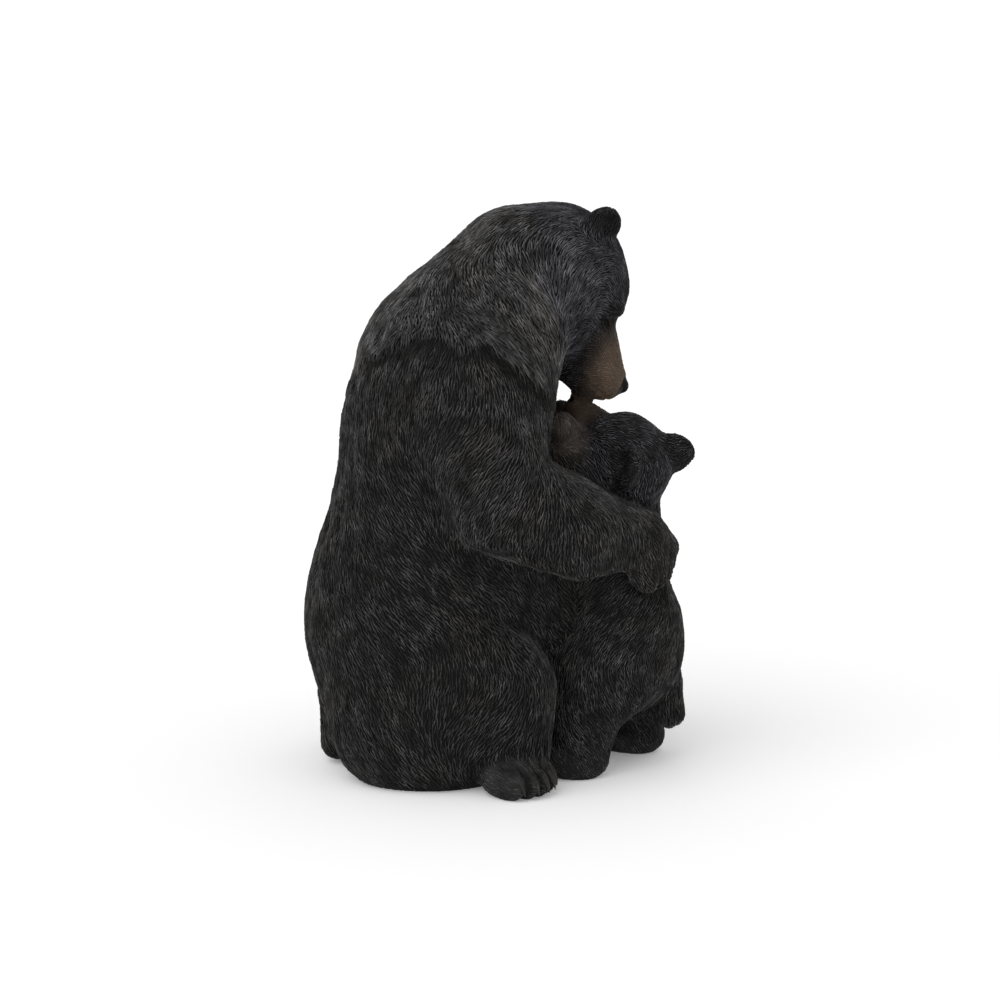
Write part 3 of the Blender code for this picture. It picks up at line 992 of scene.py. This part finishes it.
def painted_resin():
    """Matte charcoal paint on cast resin, grey on the strokes' backs, and near black in the grooves as
    painted shade.
    """
    material, tree, shader = new_paint("dry_brushed_charcoal_resin")
    seen = {name: add(tree, "ShaderNodeAttribute", attribute_name=name).outputs["Fac"]
            for name in ("crest", "tint", "grizzle", "brown", "nose", "head")}
    place = add(tree, "ShaderNodeTexCoord").outputs["Object"]
    mottle = add(tree, "ShaderNodeTexNoise", {
        "Vector": place, "Scale": 1 / MOTTLE_SIZE, "Detail": 3.0,
    })
    grit = add(tree, "ShaderNodeTexNoise", {"Vector": place, "Scale": 1 / GRIT_SIZE, "Detail": 2.0})
    # Painted shade: the charcoal goes near black where the strokes sink in and on the skin between
    # them.
    charcoal = add(tree, "ShaderNodeMix", {
        "Factor": seen["crest"], "A": GROOVE_SHADE_BLACK, "B": CHARCOAL,
    }, data_type="RGBA")
    caught = add(tree, "ShaderNodeMapRange", {"Value": seen["crest"], "From Min": BRUSH_CATCHES_FROM})
    few = add(tree, "ShaderNodeMath", {0: seen["tint"], 1: FEW_PALE_STROKES}, operation="POWER")
    stroke = add(tree, "ShaderNodeMapRange", {"Value": few.outputs[0], "To Min": FAINTEST_STROKE})
    patches = {"Value": mottle.outputs["Fac"], "From Min": 0.35, "From Max": 0.65}
    patchy = add(tree, "ShaderNodeMapRange", {**patches, "To Min": FAINTEST_PATCH})
    strength = product(tree, caught.outputs[0], stroke.outputs[0], patchy.outputs[0], seen["grizzle"])
    drift = add(tree, "ShaderNodeTexNoise", {"Vector": place, "Scale": 1 / DRIFT_SIZE})
    cool = add(tree, "ShaderNodeMath", {
        0: drift.outputs["Fac"], 1: seen["head"],
    }, operation="ADD", use_clamp=True)
    brushed = add(tree, "ShaderNodeMix", {
        "Factor": cool.outputs[0], "A": BRUSHED_WARM, "B": BRUSHED_COOL,
    }, data_type="RGBA")
    grey = add(tree, "ShaderNodeMix", {
        "Factor": strength, "A": charcoal.outputs["Result"], "B": brushed.outputs["Result"],
    }, data_type="RGBA")
    # The brown is darker in the grooves, as painted shade, and on the fainter strokes.
    light = product(tree, seen["crest"], stroke.outputs[0])
    warmth = add(tree, "ShaderNodeMix", {
        "Factor": light, "A": MUZZLE_DARK_AND_SHADE, "B": MUZZLE_BROWN,
    }, data_type="RGBA")
    cloud = add(tree, "ShaderNodeMapRange", {**patches, "To Min": FAINTEST_BROWN})
    misted = product(tree, seen["brown"], cloud.outputs[0])
    colour = add(tree, "ShaderNodeMix", {
        "Factor": misted, "A": grey.outputs["Result"], "B": warmth.outputs["Result"],
    }, data_type="RGBA")
    noses = add(tree, "ShaderNodeMix", {
        "Factor": seen["nose"], "A": colour.outputs["Result"], "B": NOSE_BLACK,
    }, data_type="RGBA")
    matte = add(tree, "ShaderNodeMapRange", {
        "Value": grit.outputs["Fac"], "To Min": 0.5, "To Max": 0.72,
    })
    rough = add(tree, "ShaderNodeMapRange", {
        "Value": seen["nose"], "To Min": matte.outputs[0], "To Max": 0.5,
    })
    shine = add(tree, "ShaderNodeMapRange", {"Value": seen["nose"], "To Min": 0.08, "To Max": 0.04})
    bump = add(tree, "ShaderNodeBump", {
        "Height": grit.outputs["Fac"], "Distance": GRIT_DEPTH, "Strength": 0.5,
    })
    fill(tree, shader, {
        "Base Color": noses.outputs["Result"], "Roughness": rough.outputs[0],
        "Specular IOR Level": shine.outputs[0], "Normal": bump.outputs[0],
    })
    return material


coat_paint = painted_resin()
print("paint nodes:", len(coat_paint.node_tree.nodes))

# %% Grow the coat, region by region
SPACING = {"trunk": 1.95, "mantle": 1.75, "head": 1.25, "cub": 1.5}
SLIMNESS = 0.029
STROKE_HEIGHT = 0.027
RUFFLE = 0.22


def grow(region, seed):
    """Covers one region of the skin in strokes, as a plain mesh of its own."""
    grown = linked("growing", skin.data.copy())
    modifier = grown.modifiers.new("carved fur", "NODES")
    modifier.node_group = carved_fur
    set_inputs(modifier, {
        "Spindle": spindle_object, "Cover": "cover_" + region, "Spacing": SPACING[region] * MILLIMETRE,
        "Slimness": SLIMNESS, "Height": STROKE_HEIGHT, "Ruffle": RUFFLE, "Seed": seed,
        "Paint": coat_paint,
    })
    coat = linked("coat_relief_" + region, plain_mesh(grown, "coat_relief_" + region))
    for name in [item.name for item in coat.data.attributes]:
        if name.startswith("cover_") or name in ("comb", "fur", "rise"):
            coat.data.attributes.remove(coat.data.attributes[name])
    used = grown.data
    bpy.data.objects.remove(grown)
    bpy.data.meshes.remove(used)
    print(coat.name, "triangles:", len(coat.data.polygons))
    return coat


coats = [grow(region, seed) for seed, region in enumerate(SPACING, start=21)]
bpy.data.objects.remove(spindle_object)
skin.data.materials.clear()
skin.data.materials.append(coat_paint)

# %% [markdown]
# ## Eyes
# The eyes are part of the casting, so each ball is sunk between its lids until its front is
# level with the skin, and only a smoother black tells it apart.

# %% Black balls
EYE_RADIUS = 0.07


def clouded_paint(name, cloud, dark, pale, smoothest, roughest, shine):
    """A plain paint, clouded between two colours as it flowed off the brush."""
    material, tree, shader = new_paint(name)
    place = add(tree, "ShaderNodeTexCoord").outputs["Object"]
    flow = add(tree, "ShaderNodeTexNoise", {"Vector": place, "Scale": 1 / cloud}).outputs["Fac"]
    colour = add(tree, "ShaderNodeMix", {"Factor": flow, "A": dark, "B": pale}, data_type="RGBA")
    rough = add(tree, "ShaderNodeMapRange", {
        "Value": flow, "To Min": smoothest, "To Max": roughest,
    })
    fill(tree, shader, {
        "Base Color": colour.outputs["Result"], "Roughness": rough.outputs[0],
        "Specular IOR Level": shine,
    })
    return material


def eye_paint():
    """Black enamel, brushed on the eyes: the smoothest finish here, with a small dim highlight."""
    dark, pale = linear("#060606"), linear("#17110d")
    return clouded_paint("gloss_black_enamel", 2 * MILLIMETRE, dark, pale, 0.22, 0.34, 0.06)


def eyes():
    """All four eyes as one mesh of small round balls."""
    shape = bmesh.new()
    for head in (MOTHER_HEAD, CUB_HEAD):
        for side in (-1, 1):
            socket = eye_frame(head, side)
            on_skin = settle(socket.origin[None, :], rounds=4, finely=False)[0]
            outwards = -socket.turn[:, 1]
            radius = EYE_RADIUS * head.size
            centre = (on_skin - outwards * radius - CLAY_MIDDLE) * UNIT
            ball = bmesh.ops.create_uvsphere(shape, u_segments=24, v_segments=14, radius=radius * UNIT)
            bmesh.ops.translate(shape, verts=ball["verts"], vec=centre.tolist())
    mesh = as_mesh(shape, "eyes")
    mesh.materials.append(eye_paint())
    mesh.shade_smooth()
    return linked("eyes", mesh)


eye_balls = eyes()
print("eye triangles:", triangles(eye_balls.data))

# %% [markdown]
# ## Claws
# Each of the mother's toes ends in a short claw that lies on its front and bends down. A claw is
# a cone swept along a bend, sunk in the toe by half its width. It is painted like the coat, only
# a little smoother. The cub's paws are too small to show any.

# %% Bent cones on the toes
CLAW_BEND = [
    (-0.15, 0.13, 0.045), (-0.24, 0.09, 0.056), (-0.29, 0.01, 0.050), (-0.32, -0.07, 0.036),
    (-0.33, -0.14, 0.012),
]
CLAW_SIDES = 8


def claw(shape, paw_frame, across, reach):
    """Sweeps one claw: rings along its bend, seen from the side of the toe."""
    rings = []
    turns = np.linspace(0, 2 * math.pi, CLAW_SIDES, endpoint=False)
    for ahead, up, radius in CLAW_BEND:
        ring = [
            (across + radius * math.cos(turn), reach + ahead, up + radius * math.sin(turn))
            for turn in turns
        ]
        rings.append([shape.verts.new((paw_frame.outer(spot) - CLAY_MIDDLE) * UNIT) for spot in ring])
    for near, far in zip(rings, rings[1:]):
        for here in range(CLAW_SIDES):
            there = (here + 1) % CLAW_SIDES
            shape.faces.new((near[here], near[there], far[there], far[here]))
    shape.faces.new(rings[0][::-1])
    shape.faces.new(rings[-1])


def horn_paint():
    """The same charcoal on the claws, clouded with grey and a little smoother than the coat."""
    cloud = 1.5 * MILLIMETRE
    return clouded_paint("brushed_claw_paint", cloud, CHARCOAL, CLAW_GREY, 0.4, 0.55, 0.15)


def claws():
    """Every claw of the mother's four paws as one mesh."""
    shape = bmesh.new()
    for paw_frame, width in MOTHER_PAWS:
        for toe in range(TOES):
            across = (toe - 2) * width * TOE_PITCH
            claw(shape, paw_frame, across, -0.74 + 0.9 * across**2)
    bmesh.ops.recalc_face_normals(shape, faces=shape.faces)
    mesh = as_mesh(shape, "claws")
    mesh.materials.append(horn_paint())
    mesh.shade_smooth()
    return linked("claws", mesh)


claw_tips = claws()
print("claw triangles:", triangles(claw_tips.data))

# %% [markdown]
# ## Floor, light and camera
# A pale floor under soft studio light, seen from the mother's right and a little above.

# %% Floor
FLOOR_REACH = 30.0
FLOOR_GLOW = 0.17


def studio_floor():
    """A wide pale floor."""
    material, tree, shader = new_paint("studio_floor")
    fill(tree, shader, {
        "Base Color": linear("#f6f6f6"), "Roughness": 0.9,
        "Emission Color": (1, 1, 1, 1), "Emission Strength": FLOOR_GLOW,
    })
    shape = bmesh.new()
    bmesh.ops.create_grid(shape, x_segments=1, y_segments=1, size=FLOOR_REACH)
    mesh = as_mesh(shape, "studio_floor")
    mesh.materials.append(material)
    return linked("studio_floor", mesh)


floor = studio_floor()

# %% Light
SKY_LIGHT = 0.72
SUN_STRENGTH = 1.05
SUN_SOFTNESS = math.radians(60)
SUN_FROM = Vector((-0.75, 0.65, 1.1))


def white_room():
    """A world that the camera sees as white, and that lights the statue a little less."""
    world = bpy.data.worlds.new("white_room")
    world.use_nodes = True
    tree = world.node_tree
    seen = tree.nodes["Background"]
    seen.inputs["Color"].default_value = (1, 1, 1, 1)
    lit = add(tree, "ShaderNodeBackground", {"Color": (1, 1, 1, 1), "Strength": SKY_LIGHT})
    rays = add(tree, "ShaderNodeLightPath")
    both = add(tree, "ShaderNodeMixShader", {
        0: rays.outputs["Is Camera Ray"], 1: lit.outputs[0], 2: seen.outputs[0],
    })
    tree.links.new(both.outputs[0], tree.nodes["World Output"].inputs["Surface"])
    return world


def soft_sun():
    """One big soft light from above, behind the mother's right shoulder."""
    lamp = bpy.data.lights.new("soft_sun", "SUN")
    lamp.energy = SUN_STRENGTH
    lamp.angle = SUN_SOFTNESS
    sun = linked("soft_sun", lamp)
    sun.rotation_mode = "QUATERNION"
    sun.rotation_quaternion = (-SUN_FROM).to_track_quat("-Z", "Y")


soft_sun()
bpy.context.scene.world = white_room()
bpy.context.scene.view_settings.view_transform = "Standard"

# %% Camera
CAMERA_DISTANCE = 2.456
CAMERA_ELEVATION = math.radians(10.45)
SENSOR = 36.0
FRAME_WIDTH = 0.7442
back = Vector((-math.cos(CAMERA_ELEVATION), 0, math.sin(CAMERA_ELEVATION)))
aim = Vector((0, -0.0017, 0.2006))
camera_data = bpy.data.cameras.new("camera")
camera_data.sensor_width = SENSOR
camera_data.lens = SENSOR * CAMERA_DISTANCE / FRAME_WIDTH
camera = linked("camera", camera_data)
camera.location = aim + back * CAMERA_DISTANCE
camera.rotation_mode = "QUATERNION"
camera.rotation_quaternion = (aim - camera.location).to_track_quat("-Z", "Y")
bpy.context.scene.camera = camera

# %% [markdown]
# ## The pieces on the body
# The skin stands for the imported casting, which is hidden, and it rides on the statue's one
# body with the coat's strokes, the eyes and the claws.

# %% Ride and replace
for piece in (skin, *coats, eye_balls, claw_tips):
    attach(piece, BODY)
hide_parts(CASTING_NODE)
